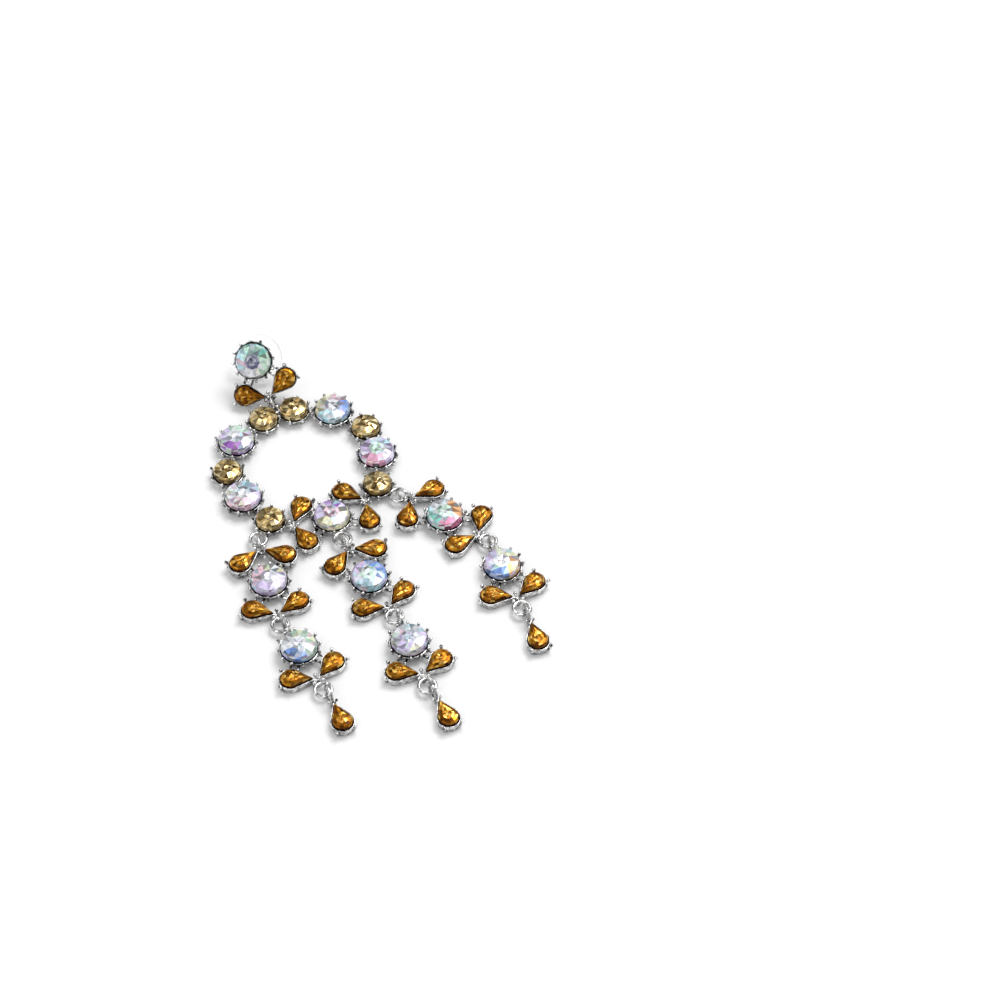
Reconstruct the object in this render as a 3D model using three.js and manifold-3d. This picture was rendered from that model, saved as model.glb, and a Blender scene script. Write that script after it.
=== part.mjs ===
// Chandelier earring, lying on its back as on a table: a stud with a clear clutch, a hoop of round crystals
// with a fan of pear stones at the bottom, and three strands of two links and a drop each.
// Millimetres. +Y runs along the hoop's axis towards the stud, +Z is up, the castings' flat backs are down.
import * as THREE from 'three';
import { ConvexGeometry } from 'three/addons/geometries/ConvexGeometry.js';
import { mergeVertices } from 'three/addons/utils/BufferGeometryUtils.js';
import Module from 'manifold-3d';

// Round stones and the cups that hold them, one row for each size
const CRYSTAL = {
  radius: 4.0,
  crown: 0.85,
  table: 0.5,
  girdleHeight: 2.45,
  sides: 12,
  prongs: 12,
};
const CHAMPAGNE = {
  radius: 3.2,
  crown: 0.7,
  table: 0.5,
  girdleHeight: 2.2,
  sides: 12,
  prongs: 8,
};
const GIRDLE = 0.9;
const GIRDLE_LEAN = 0.12;
const CUP_FLOOR = 0.5;
const SEAT_GAP = 0.12;
const CUP_WALL = 0.4;
const CUP_TAPER = 1.1;
const PRONG_RISE = 0.75;
const PRONG_LEAN = 0.2;
const CUP_RIM_ROW = 2;

// Pear stones and their settings
const PEAR_RADIUS = 2.3;
const PEAR_TIP = 4.7;
const PEAR_ARC_STEPS = 7;
const PEAR_GIRDLE = 1.75;
const PEAR_CROWN = 0.45;
const PEAR_TABLE = 0.5;
const PEAR_PAVILION = 1.1;
const PEAR_WALL = 0.34;
const PEAR_TAPER = 0.3;
const PEAR_POCKET_GAP = 0.06;
const PEAR_FLOOR = 0.4;
const PEAR_PRONG_RISE = 0.55;
const PEAR_PRONG_TURN = 45;

// Edges shorter than this are left out of the castings
const LEAST_EDGE = 0.02;

// Star joints, bars and small round prongs
const STAR_RADIUS = 0.85;
const STAR_HEIGHT = 1.9;
const STAR_REACH = 0.95;
const STAR_TURNS = [0, 120, -120];
const STUD_STAR_TURNS = [0, 105, -105, 145, -145];
const PRONG_RADIUS = 0.3;
const PRONG_SIDES = 4;
const BAR_WIDTH = 1.6;
const BAR_TOP = 1.5;
const BAR_BOTTOM = 0.5;

// A pair of pears in a bow: from the star to the large stone, and to the round ends of the pears
const BOW_REACH = 8.95;
const PEAR_TIP_GAP = 1.0;
const PEAR_REACH = PEAR_TIP + PEAR_TIP_GAP;
const PEAR_SPREAD = 63;

// Loops: the flat ones hang the next link, the upright ones pass through them
const FLAT_LOOP_RADIUS = 1.8;
const UPRIGHT_LOOP_RADIUS = 1.75;
const LOOP_WIRE = 0.42;
const LOOP_HEIGHT = 1.6;
const LOOP_SIDES = 5;
const LOOP_STEPS = 10;

// Links, from their own origin: the large stone's centre, or the drop's round end
const STAR_LOOP_BITE = 0.7;
const CUP_LOOP_BITE = 0.22;
const FULL_UPRIGHT_LOOP = STAR_RADIUS + UPRIGHT_LOOP_RADIUS - STAR_LOOP_BITE;
const FULL_FLAT_LOOP = 2.5;
const HALF_UPRIGHT_LOOP = CRYSTAL.radius + SEAT_GAP + CUP_WALL + UPRIGHT_LOOP_RADIUS - CUP_LOOP_BITE;
const HALF_FLAT_LOOP = 2.8;
const DROP_UPRIGHT_LOOP = 7.6;
const DROP_COLLAR_GAP = 0.75;
const DROP_COLLAR = PEAR_TIP + DROP_COLLAR_GAP;
const DROP_COLLAR_RADIUS = 0.65;

// From a flat loop's centre to the origin of the link that hangs in it
const FULL_HANG = 12.15;
const HALF_HANG = 8.0;
const DROP_HANG = 9.6;

// Hoop: each round stone by its turn from the top, clockwise, and its distance from the middle
const HOOP_STONES = [
  { turn: -12.6, reach: 16.6, stone: CHAMPAGNE, name: 'champagne_1' },
  { turn: 12.6, reach: 16.6, stone: CHAMPAGNE, name: 'champagne_2' },
  { turn: 42.8, reach: 17.0, stone: CRYSTAL, name: 'crystal_1' },
  { turn: 73.1, reach: 17.2, stone: CHAMPAGNE, name: 'champagne_3' },
  { turn: 101.0, reach: 16.2, stone: CRYSTAL, name: 'crystal_2' },
  { turn: 131.7, reach: 17.0, stone: CHAMPAGNE, name: 'champagne_4' },
  { turn: 180.0, reach: 15.9, stone: CRYSTAL, name: 'crystal_3' },
  { turn: -131.7, reach: 17.0, stone: CHAMPAGNE, name: 'champagne_5' },
  { turn: -101.0, reach: 16.2, stone: CRYSTAL, name: 'crystal_4' },
  { turn: -73.1, reach: 17.2, stone: CHAMPAGNE, name: 'champagne_6' },
  { turn: -42.8, reach: 17.0, stone: CRYSTAL, name: 'crystal_5' },
];
const HOOP_BAR_WIDTH = 1.5;
const HOOP_BAR_SINK = 0.7;
const FAN_STAR = { x: 8.6, y: -14.4 };
const FAN_LEAN = 13.5;
const LEFT_LOOP = { x: -16.9, y: -14.9 };
const RIGHT_LOOP = { x: 15.9, y: -15.5 };
const MIDDLE_LOOP_DROP = 6.25;
const EYELET_RADIUS = 1.4;
const EYELET_WIRE = 0.35;
const EYELET_Y = 18.75;

// Stud: its turn, the tilt that the clutch props it up to, its post and the clutch
const STUD_HEADING = 8;
const STUD_PITCH = 40;
const STUD_ROLL = -28;
const STUD_STAR = { x: -0.25, y: 20.9 };
const STUD_LOOP_RADIUS = 1.55;
const STUD_LOOP_WIRE = 0.35;
const STUD_LOOP_REACH = 1.35;
const STUD_LOOP_HEIGHT = 0.9;
const POST_RADIUS = 0.4;
const POST_LENGTH = 9.0;
const DISC_RADIUS = 5.45;
const DISC_EDGE = 0.5;
const DISC_THICKNESS = 1.3;
const DISC_DROP = 3.4;
const BARREL_RADIUS = 1.9;
const BARREL_NECK = 1.3;
const BARREL_LENGTH = 2.8;
const BORE_GAP = 0.08;
const CLUTCH_GAP = 0.08;
const CLUTCH_SIDES = 20;

// Strands: the turn of each link from the hoop's axis, anticlockwise, and its shift sideways and slack in the loop
const STRANDS = [
  {
    name: 'left',
    loop: LEFT_LOOP,
    full: { turn: -9.0, shift: -0.3, slack: 0.4 },
    half: { turn: 4.5, shift: 0.55, slack: 0 },
    drop: { turn: 0.5, shift: 0.45, slack: 0 },
  },
  {
    name: 'centre',
    loop: { x: 0, y: -HOOP_STONES[6].reach - MIDDLE_LOOP_DROP },
    full: { turn: 6.0, shift: -0.2, slack: 0.6 },
    half: { turn: -3.5, shift: 0.6, slack: 0 },
    drop: { turn: 3.5, shift: 0.2, slack: 0.1 },
  },
  {
    name: 'right',
    loop: RIGHT_LOOP,
    full: { turn: 33.0, shift: 0.2, slack: 0 },
    half: { turn: -2.0, shift: 0.1, slack: 0.1 },
    drop: { turn: -5.0, shift: 0.4, slack: 0 },
  },
];

const SILVER = new THREE.MeshStandardMaterial({ color: 0xc8cbd0, metalness: 1, roughness: 0.18 });
const AURORA = new THREE.MeshStandardMaterial({ color: 0xe8ebf7, metalness: 0.1, roughness: 0.05 });
const CHAMPAGNE_GLASS = new THREE.MeshStandardMaterial({ color: 0xc8a468, metalness: 0.1, roughness: 0.06 });
const AMBER_GLASS = new THREE.MeshStandardMaterial({ color: 0xb4690f, metalness: 0.1, roughness: 0.06 });
const CLEAR_PLASTIC = new THREE.MeshStandardMaterial({ color: 0xf1f3f4, metalness: 0, roughness: 0.15 });

const wasm = await Module();
wasm.setup();
const radians = THREE.MathUtils.degToRad;

// A closed three.js geometry as a solid that can be joined and cut
function solid(geometry) {
  const bare = geometry.clone();
  bare.deleteAttribute('normal');
  bare.deleteAttribute('uv');
  const merged = mergeVertices(bare, 1e-5);
  const index = merged.index.array;
  const triangles = [];
  for (let i = 0; i < index.length; i += 3) {
    const [a, b, c] = [index[i], index[i + 1], index[i + 2]];
    if (a !== b && b !== c && c !== a) {
      triangles.push(a, b, c);
    }
  }
  const mesh = new wasm.Mesh({
    numProp: 3,
    vertProperties: new Float32Array(merged.attributes.position.array),
    triVerts: new Uint32Array(triangles),
  });
  return new wasm.Manifold(mesh);
}

function join(solids) {
  return solids.reduce((whole, piece) => whole.add(piece));
}

function namedMesh(name, body, material) {
  const { vertProperties, triVerts } = body.getMesh();
  const geometry = new THREE.BufferGeometry();
  geometry.setAttribute('position', new THREE.BufferAttribute(new Float32Array(vertProperties), 3));
  geometry.setIndex(new THREE.BufferAttribute(new Uint32Array(triVerts), 1));
  geometry.computeVertexNormals();
  const mesh = new THREE.Mesh(geometry, material);
  mesh.name = name;
  return mesh;
}

// A profile of [radius, height] pairs turned about the vertical axis
function turned(profile, sides) {
  const points = profile.map(([radius, height]) => new THREE.Vector2(radius, height));
  return new THREE.LatheGeometry(points, sides).rotateX(Math.PI / 2);
}

// Round stone: table, crown facets, girdle and pavilion
function roundStone(stone) {
  const low = stone.girdleHeight;
  const high = low + GIRDLE;
  const culet = CUP_FLOOR + SEAT_GAP * 1.5;
  const top = high + stone.crown;
  const profile = [
    [0, culet],
    [stone.radius, low],
    [stone.radius - GIRDLE_LEAN, high],
    [stone.radius * stone.table, top],
    [0, top],
  ];
  return solid(turned(profile, stone.sides));
}

// Cup with a conical seat and a crown of prongs: every other column of its outer rim rises to a prong's tip
function cup(stone, turn = 0) {
  const rim = stone.girdleHeight - SEAT_GAP;
  const inner = stone.radius + SEAT_GAP;
  const outer = inner + CUP_WALL;
  const profile = [[0, 0], [outer - CUP_TAPER, 0], [outer, rim], [inner, rim], [0, CUP_FLOOR]];
  const geometry = turned(profile, stone.prongs * 2);
  const position = geometry.attributes.position;
  for (let i = 0; i < position.count; i += 1) {
    const column = Math.floor(i / profile.length);
    const row = i % profile.length;
    const [radius, height] = profile[row];
    const isTip = column % 2 === 0 && row === CUP_RIM_ROW;
    const angle = (column * Math.PI) / stone.prongs + radians(turn);
    const reach = radius + (isTip ? PRONG_LEAN : 0);
    const level = height + (isTip ? PRONG_RISE : 0);
    position.setXYZ(i, reach * Math.cos(angle), reach * Math.sin(angle), level);
  }
  return solid(geometry);
}

// Outline of a pear with its round end about the origin and its tip towards +Y, grown by an offset
function pearOutline(offset, bluntTip = Infinity) {
  const radius = PEAR_RADIUS + offset;
  const tangent = Math.acos(PEAR_RADIUS / PEAR_TIP);
  const sharpTip = radius / Math.cos(tangent);
  const points = [];
  for (let i = 0; i <= PEAR_ARC_STEPS; i += 1) {
    const turn = tangent + (i / PEAR_ARC_STEPS) * 2 * (Math.PI - tangent);
    points.push(new THREE.Vector2(-Math.sin(turn) * radius, Math.cos(turn) * radius));
  }
  if (bluntTip < sharpTip) {
    const half = (sharpTip - bluntTip) / Math.tan(tangent);
    points.push(new THREE.Vector2(half, bluntTip), new THREE.Vector2(-half, bluntTip));
  } else {
    points.push(new THREE.Vector2(0, sharpTip));
  }
  return points;
}

function atHeight(outline, height, scale = 1) {
  return outline.map((point) => new THREE.Vector3(point.x * scale, point.y * scale, height));
}

function pearStone() {
  const outline = pearOutline(0);
  const points = [
    new THREE.Vector3(0, 0, PEAR_GIRDLE - PEAR_PAVILION),
    ...atHeight(outline, PEAR_GIRDLE),
    ...atHeight(pearOutline(-GIRDLE_LEAN), PEAR_GIRDLE + GIRDLE),
    ...atHeight(outline, PEAR_GIRDLE + GIRDLE + PEAR_CROWN, PEAR_TABLE),
  ];
  return solid(new ConvexGeometry(points));
}

function pearWall() {
  const tip = PEAR_TIP + PEAR_WALL;
  const points = [
    ...atHeight(pearOutline(PEAR_WALL - PEAR_TAPER, tip - PEAR_TAPER), 0),
    ...atHeight(pearOutline(PEAR_WALL, tip), PEAR_GIRDLE),
  ];
  return new ConvexGeometry(points);
}

// The room for the stone, open at the top and clear of anything joined to the wall
function pearPocket() {
  const shape = new THREE.Shape(pearOutline(PEAR_POCKET_GAP));
  const geometry = new THREE.ExtrudeGeometry(shape, { depth: STAR_HEIGHT + GIRDLE, bevelEnabled: false });
  return geometry.translate(0, 0, PEAR_FLOOR);
}

// Small round-headed prong that stands on the back plane
function prong(x, y, top) {
  const profile = [
    [0, BAR_BOTTOM],
    [PRONG_RADIUS * 0.8, BAR_BOTTOM],
    [PRONG_RADIUS, top - PRONG_RADIUS],
    [0, top],
  ];
  return turned(profile, PRONG_SIDES).translate(x, y, 0);
}

function pearProngs(corners) {
  const reach = PEAR_RADIUS + PEAR_WALL + PRONG_RADIUS * 0.5;
  return corners.map((side) => {
    const turn = side * radians(PEAR_PRONG_TURN);
    return prong(Math.sin(turn) * reach, -Math.cos(turn) * reach, PEAR_GIRDLE + PEAR_PRONG_RISE);
  });
}

// Straight bar between two points of the plan, from one height to another
function bar(from, to, width, bottom, top) {
  const length = from.distanceTo(to);
  const middle = from.clone().add(to).multiplyScalar(0.5);
  const geometry = new THREE.BoxGeometry(length, width, top - bottom);
  geometry.rotateZ(Math.atan2(to.y - from.y, to.x - from.x));
  return geometry.translate(middle.x, middle.y, (bottom + top) / 2);
}

function flatLoop(x, y, radius = FLAT_LOOP_RADIUS, wire = LOOP_WIRE) {
  const geometry = new THREE.TorusGeometry(radius, wire, LOOP_SIDES, LOOP_STEPS);
  return geometry.rotateZ(Math.PI / 2).translate(x, y, LOOP_HEIGHT);
}

function uprightLoop(x, y, height = LOOP_HEIGHT, radius = UPRIGHT_LOOP_RADIUS, wire = LOOP_WIRE) {
  const geometry = new THREE.TorusGeometry(radius, wire, LOOP_SIDES, LOOP_STEPS);
  return geometry.rotateY(Math.PI / 2).translate(x, y, height);
}

// Star joint: a hub with round prongs about it, the first of them towards the large stone
function star(x, y, heading, turns = STAR_TURNS) {
  const hub = new THREE.CylinderGeometry(STAR_RADIUS, STAR_RADIUS, STAR_HEIGHT, 6);
  hub.rotateX(Math.PI / 2).translate(0, 0, STAR_HEIGHT / 2);
  const pieces = [hub];
  for (const turn of turns.map(radians)) {
    const tip = new THREE.Vector2(-Math.sin(turn), Math.cos(turn)).multiplyScalar(STAR_REACH);
    pieces.push(prong(tip.x, tip.y, STAR_HEIGHT + PRONG_RADIUS));
  }
  return pieces.map((piece) => piece.rotateZ(heading).translate(x, y, 0));
}

// Where the two pears of a bow stand, from its star's place and heading: one prong at each outer corner
function bowPlaces(x, y, heading) {
  return [-1, 1].map((side) => {
    const turn = heading + side * radians(PEAR_SPREAD);
    const centre = new THREE.Vector3(x - Math.sin(turn) * PEAR_REACH, y + Math.cos(turn) * PEAR_REACH, 0);
    return { matrix: new THREE.Matrix4().makeRotationZ(turn + Math.PI).setPosition(centre), corners: [side] };
  });
}

// Short bar from a pear's wall to the cup of a large stone
function pearBar(place, target) {
  const centre = new THREE.Vector3().setFromMatrixPosition(place.matrix);
  const start = new THREE.Vector2(centre.x, centre.y);
  const along = target.clone().sub(start).normalize();
  const from = start.clone().addScaledVector(along, PEAR_RADIUS + PEAR_WALL * 0.4);
  const to = target.clone().addScaledVector(along, -(CRYSTAL.radius - SEAT_GAP));
  return bar(from, to, BAR_WIDTH, BAR_BOTTOM, BAR_TOP);
}

// Joins geometries into one casting, clears the pockets of its pears and drops its slivers
function casting(geometries, places) {
  const settings = [];
  for (const { matrix, corners } of places) {
    settings.push(pearWall().applyMatrix4(matrix));
    pearProngs(corners).forEach((piece) => settings.push(piece.applyMatrix4(matrix)));
  }
  const all = [...geometries, ...settings];
  const whole = join(all.map((item) => (item.isBufferGeometry ? solid(item) : item)));
  const pockets = join(places.map(({ matrix }) => solid(pearPocket().applyMatrix4(matrix))));
  return whole.subtract(pockets).simplify(LEAST_EDGE);
}

function addPears(group, prefix, places) {
  places.forEach((place, i) => {
    const mesh = namedMesh(places.length === 1 ? prefix : `${prefix}_${i + 1}`, pearStone(), AMBER_GLASS);
    mesh.applyMatrix4(place.matrix);
    group.add(mesh);
  });
}

// Stud: its large stone stands at the group's origin
function buildStud() {
  const group = new THREE.Group();
  const places = bowPlaces(0, -BOW_REACH, 0);
  const post = new THREE.CylinderGeometry(POST_RADIUS, POST_RADIUS, POST_LENGTH + CUP_FLOOR / 2, 8);
  post.rotateX(Math.PI / 2).translate(0, 0, (CUP_FLOOR / 2 - POST_LENGTH) / 2);
  const loopY = -BOW_REACH - STUD_LOOP_REACH;
  const loop = uprightLoop(0, loopY, STUD_LOOP_HEIGHT, STUD_LOOP_RADIUS, STUD_LOOP_WIRE);
  const pieces = [cup(CRYSTAL, 15), post, loop, ...star(0, -BOW_REACH, 0, STUD_STAR_TURNS)];
  places.forEach((place) => pieces.push(pearBar(place, new THREE.Vector2(0, 0))));
  group.add(namedMesh('stud_frame', casting(pieces, places), SILVER));
  group.add(namedMesh('stud_crystal', roundStone(CRYSTAL), AURORA));
  addPears(group, 'stud_pear', places);

  const bore = POST_RADIUS + BORE_GAP;
  const front = -DISC_DROP;
  const back = front - DISC_THICKNESS;
  const edge = front - DISC_EDGE;
  const disc = [
    [bore, back],
    [BARREL_RADIUS, back],
    [DISC_RADIUS, edge],
    [DISC_RADIUS, front],
    [bore, front],
    [bore, back],
  ];
  group.add(namedMesh('clutch_disc', solid(turned(disc, CLUTCH_SIDES)), CLEAR_PLASTIC));
  const top = back - CLUTCH_GAP;
  const end = top - BARREL_LENGTH;
  const waist = (top + end) / 2;
  const barrel = [
    [bore, end],
    [BARREL_NECK, end],
    [BARREL_NECK, waist],
    [BARREL_RADIUS, top - 0.6],
    [BARREL_RADIUS, top],
    [bore, top],
    [bore, end],
  ];
  group.add(namedMesh('clutch_barrel', solid(turned(barrel, CLUTCH_SIDES / 2)), SILVER));
  return group;
}

// Hoop: cups side by side, a fan of four pears about the bottom cup, an eyelet and three flat loops
function buildHoop() {
  const group = new THREE.Group();
  const centres = HOOP_STONES.map(({ turn, reach }) => {
    return new THREE.Vector2(Math.sin(radians(turn)) * reach, Math.cos(radians(turn)) * reach);
  });
  const bottom = centres[6];
  const pieces = [];
  HOOP_STONES.forEach(({ turn, stone, name }, i) => {
    pieces.push(cup(stone, 90 - turn + 180 / stone.prongs).translate([centres[i].x, centres[i].y, 0]));
    const mesh = namedMesh(`hoop_${name}`, roundStone(stone), stone === CRYSTAL ? AURORA : CHAMPAGNE_GLASS);
    mesh.position.set(centres[i].x, centres[i].y, 0);
    group.add(mesh);
  });
  const places = [];
  for (const side of [-1, 1]) {
    const starPlace = new THREE.Vector2(side * FAN_STAR.x, FAN_STAR.y);
    const heading = side * (Math.PI / 2 + radians(FAN_LEAN));
    const pair = bowPlaces(starPlace.x, starPlace.y, heading);
    pieces.push(...star(starPlace.x, starPlace.y, heading));
    pair.forEach((place) => pieces.push(pearBar(place, bottom)));
    places.push(...pair);
  }
  pieces.push(flatLoop(LEFT_LOOP.x, LEFT_LOOP.y), flatLoop(RIGHT_LOOP.x, RIGHT_LOOP.y));
  pieces.push(flatLoop(0, bottom.y - MIDDLE_LOOP_DROP));
  pieces.push(flatLoop(0, EYELET_Y, EYELET_RADIUS, EYELET_WIRE));

  // Neighbouring cups, and the lowest small cups with the stars beside them, are soldered with short bars
  const links = [];
  for (let i = 0; i < HOOP_STONES.length; i += 1) {
    const next = (i + 1) % HOOP_STONES.length;
    const [from, to] = [HOOP_STONES[i], HOOP_STONES[next]];
    if (i !== 6 && next !== 6) {
      links.push({ a: centres[i], b: centres[next], fromStone: from.stone, toStone: to.stone });
    }
  }
  for (const side of [-1, 1]) {
    const starPlace = new THREE.Vector2(side * FAN_STAR.x, FAN_STAR.y);
    links.push({ a: centres[side > 0 ? 5 : 7], b: starPlace, fromStone: CHAMPAGNE, toStone: null });
  }
  for (const { a, b, fromStone, toStone } of links) {
    const along = b.clone().sub(a).normalize();
    const from = a.clone().addScaledVector(along, fromStone.radius - HOOP_BAR_SINK);
    const to = toStone ? b.clone().addScaledVector(along, HOOP_BAR_SINK - toStone.radius) : b;
    pieces.push(bar(from, to, HOOP_BAR_WIDTH, BAR_BOTTOM / 2, BAR_TOP / 2 + BAR_BOTTOM));
  }
  group.add(namedMesh('hoop_frame', casting(pieces, places), SILVER));
  addPears(group, 'hoop_pear', places);
  return group;
}

// Long link: upright loop, star and pears above the large stone, pears, star and flat loop below it
function buildFull(name) {
  const group = new THREE.Group();
  const places = [...bowPlaces(0, BOW_REACH, Math.PI), ...bowPlaces(0, -BOW_REACH, 0)];
  const pieces = [
    cup(CRYSTAL, 15),
    ...star(0, BOW_REACH, Math.PI),
    ...star(0, -BOW_REACH, 0),
    uprightLoop(0, BOW_REACH + FULL_UPRIGHT_LOOP),
    flatLoop(0, -BOW_REACH - FULL_FLAT_LOOP),
  ];
  places.forEach((place) => pieces.push(pearBar(place, new THREE.Vector2(0, 0))));
  group.add(namedMesh(`full_${name}_frame`, casting(pieces, places), SILVER));
  group.add(namedMesh(`full_${name}_crystal`, roundStone(CRYSTAL), AURORA));
  addPears(group, `full_${name}_pear`, places);
  return group;
}

// Short link: upright loop on the cup of the large stone, pears, star and flat loop below it
function buildHalf(name) {
  const group = new THREE.Group();
  const places = bowPlaces(0, -BOW_REACH, 0);
  const pieces = [
    cup(CRYSTAL, 15),
    ...star(0, -BOW_REACH, 0),
    uprightLoop(0, HALF_UPRIGHT_LOOP),
    flatLoop(0, -BOW_REACH - HALF_FLAT_LOOP),
  ];
  places.forEach((place) => pieces.push(pearBar(place, new THREE.Vector2(0, 0))));
  group.add(namedMesh(`half_${name}_frame`, casting(pieces, places), SILVER));
  group.add(namedMesh(`half_${name}_crystal`, roundStone(CRYSTAL), AURORA));
  addPears(group, `half_${name}_pear`, places);
  return group;
}

// Drop: one pear with its tip up, hung by an upright loop
function buildDrop(name) {
  const group = new THREE.Group();
  const places = [{ matrix: new THREE.Matrix4(), corners: [-1, 1] }];
  const collar = new THREE.CylinderGeometry(DROP_COLLAR_RADIUS, DROP_COLLAR_RADIUS, BAR_TOP, 6);
  collar.rotateX(Math.PI / 2).translate(0, DROP_COLLAR, BAR_TOP / 2);
  const pieces = [collar, uprightLoop(0, DROP_UPRIGHT_LOOP)];
  group.add(namedMesh(`drop_${name}_frame`, casting(pieces, places), SILVER));
  addPears(group, `drop_${name}_pear`, places);
  return group;
}

// Lays a link on the table: its lower edge on it, and its upper end raised by the loop that stands under it
function layLink(group, x, y, turn, lowerEdge, loopPlace) {
  const loopDrop = UPRIGHT_LOOP_RADIUS + LOOP_WIRE - LOOP_HEIGHT;
  const tilt = Math.atan(loopDrop / (loopPlace + lowerEdge));
  group.rotation.set(tilt, 0, turn, 'ZXY');
  group.position.set(x, y, lowerEdge * Math.sin(tilt));
}

const LINKS = {
  full: {
    build: buildFull,
    hang: FULL_HANG,
    next: BOW_REACH + FULL_FLAT_LOOP,
    lowerEdge: BOW_REACH + STAR_RADIUS,
    loopPlace: BOW_REACH + FULL_UPRIGHT_LOOP,
  },
  half: {
    build: buildHalf,
    hang: HALF_HANG,
    next: BOW_REACH + HALF_FLAT_LOOP,
    lowerEdge: BOW_REACH + STAR_RADIUS,
    loopPlace: HALF_UPRIGHT_LOOP,
  },
  drop: {
    build: buildDrop,
    hang: DROP_HANG,
    next: 0,
    lowerEdge: PEAR_RADIUS + PEAR_WALL - PEAR_TAPER,
    loopPlace: DROP_UPRIGHT_LOOP,
  },
};

function buildStrand(strand) {
  const group = new THREE.Group();
  let loop = new THREE.Vector2(strand.loop.x, strand.loop.y);
  for (const [kind, link] of Object.entries(LINKS)) {
    const turn = radians(strand[kind].turn);
    const up = new THREE.Vector2(-Math.sin(turn), Math.cos(turn));
    const right = new THREE.Vector2(Math.cos(turn), Math.sin(turn));
    const { shift, slack } = strand[kind];
    const place = loop.clone().addScaledVector(up, -link.hang - slack).addScaledVector(right, shift);
    const piece = link.build(strand.name);
    layLink(piece, place.x, place.y, turn, link.lowerEdge, link.loopPlace);
    group.add(piece);
    loop = place.addScaledVector(up, -link.next);
  }
  return group;
}

// The stud is turned about its star and then let down until it touches the table
function layStud(stud) {
  stud.rotation.set(radians(STUD_PITCH), radians(STUD_ROLL), radians(STUD_HEADING), 'ZXY');
  const starTop = new THREE.Vector3(0, -BOW_REACH, STAR_HEIGHT).applyEuler(stud.rotation);
  stud.position.set(STUD_STAR.x - starTop.x, STUD_STAR.y - starTop.y, 0);
  stud.updateMatrixWorld(true);
  stud.position.z = -new THREE.Box3().setFromObject(stud, true).min.z;
}

// Whole earring, with the origin under the middle of its box
const group = new THREE.Group();
const stud = buildStud();
layStud(stud);
group.add(stud, buildHoop(), ...STRANDS.map(buildStrand));
group.updateMatrixWorld(true);
const box = new THREE.Box3().setFromObject(group, true);
const middle = box.getCenter(new THREE.Vector3());
group.position.set(-middle.x, -middle.y, -box.min.z);

export default group;
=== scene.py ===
"""Chandelier earring lying on its back on a white table, dressed over its CAD frame.

The castings and stones are rebuilt finely from the same sizes as the solids that they replace.
Sizes are in millimetres and go to metres as each mesh is made.
"""

import math
import random

import bmesh
import bpy
from mathutils import Matrix, Vector


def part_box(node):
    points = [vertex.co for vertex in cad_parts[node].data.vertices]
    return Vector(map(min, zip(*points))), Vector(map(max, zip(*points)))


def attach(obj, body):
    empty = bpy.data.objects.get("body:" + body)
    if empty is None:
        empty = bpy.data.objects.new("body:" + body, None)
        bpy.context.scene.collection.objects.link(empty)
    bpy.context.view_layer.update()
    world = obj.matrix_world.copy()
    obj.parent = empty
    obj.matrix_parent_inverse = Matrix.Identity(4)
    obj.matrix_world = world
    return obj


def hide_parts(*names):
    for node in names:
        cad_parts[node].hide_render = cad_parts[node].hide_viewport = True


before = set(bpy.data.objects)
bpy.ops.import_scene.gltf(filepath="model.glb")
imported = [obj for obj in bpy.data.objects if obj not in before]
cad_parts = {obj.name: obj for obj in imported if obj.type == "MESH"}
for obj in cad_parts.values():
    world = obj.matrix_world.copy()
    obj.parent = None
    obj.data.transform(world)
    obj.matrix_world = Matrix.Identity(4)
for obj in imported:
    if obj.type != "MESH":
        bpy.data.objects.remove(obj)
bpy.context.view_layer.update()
MM = 0.001

# Round stones and cups
CRYSTAL = dict(radius=4.0, crown=0.85, table=0.45, low=2.45, prongs=12, kind="aurora")
CHAMPAGNE = dict(radius=3.2, crown=0.7, table=0.42, low=2.2, prongs=8, kind="champagne")
GIRDLE = 0.9
GIRDLE_LEAN = 0.12
ROUND_SIDES = 16
TABLE_SIDES = 8
CUP_FLOOR = 0.5
SEAT_GAP = 0.12
CUP_WALL = 0.4
CUP_TAPER = 1.1
CUP_STEPS = 48
CUP_TURN = 15
PRONG_WIRE = 0.28
PRONG_BALL = 0.38
PRONG_STEPS = 8
PRONG_BALL_STEPS = 10

# Pear stones and settings
PEAR_RADIUS = 2.3
PEAR_TIP = 4.7
PEAR_GIRDLE = 1.75
PEAR_CROWN = 0.45
PEAR_WALL = 0.34
PEAR_TAPER = 0.3
PEAR_FLOOR = 0.4
PEAR_MIDDLE = 0.6
TIP_HALF_WIDTH = 0.02
PEAR_FACET_STEPS = 9
BEZEL_STEPS = 24
BEZEL_RISE = 0.3
PEAR_PRONG_TURN = 45

# Bow of two pears, star joints and bars
BOW_REACH = 8.95
PEAR_REACH = 5.7
PEAR_SPREAD = 63
STAR_RADIUS = 0.85
STAR_HEIGHT = 1.9
STAR_TURNS = (0, 120, -120)
STUD_STAR_TURNS = (0, 105, -105, 145, -145)
HUB_STEPS = 16
BAR_HEIGHT = 1.1
BAR_WIRE = 0.3
BAR_SPREAD = 0.85

# Loops
FLAT_LOOP_RADIUS = 1.8
UPRIGHT_LOOP_RADIUS = 1.75
LOOP_WIRE = 0.42
LOOP_HEIGHT = 1.6

# Links, from their own origin
FULL_UPRIGHT_LOOP = 1.9
FULL_FLAT_LOOP = 2.5
HALF_UPRIGHT_LOOP = 6.05
HALF_FLAT_LOOP = 2.8
DROP_UPRIGHT_LOOP = 7.6
DROP_COLLAR = 5.45
COLLAR_STEPS = 14
FULL_HANG = 12.15
HALF_HANG = 8.0
DROP_HANG = 9.6

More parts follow.
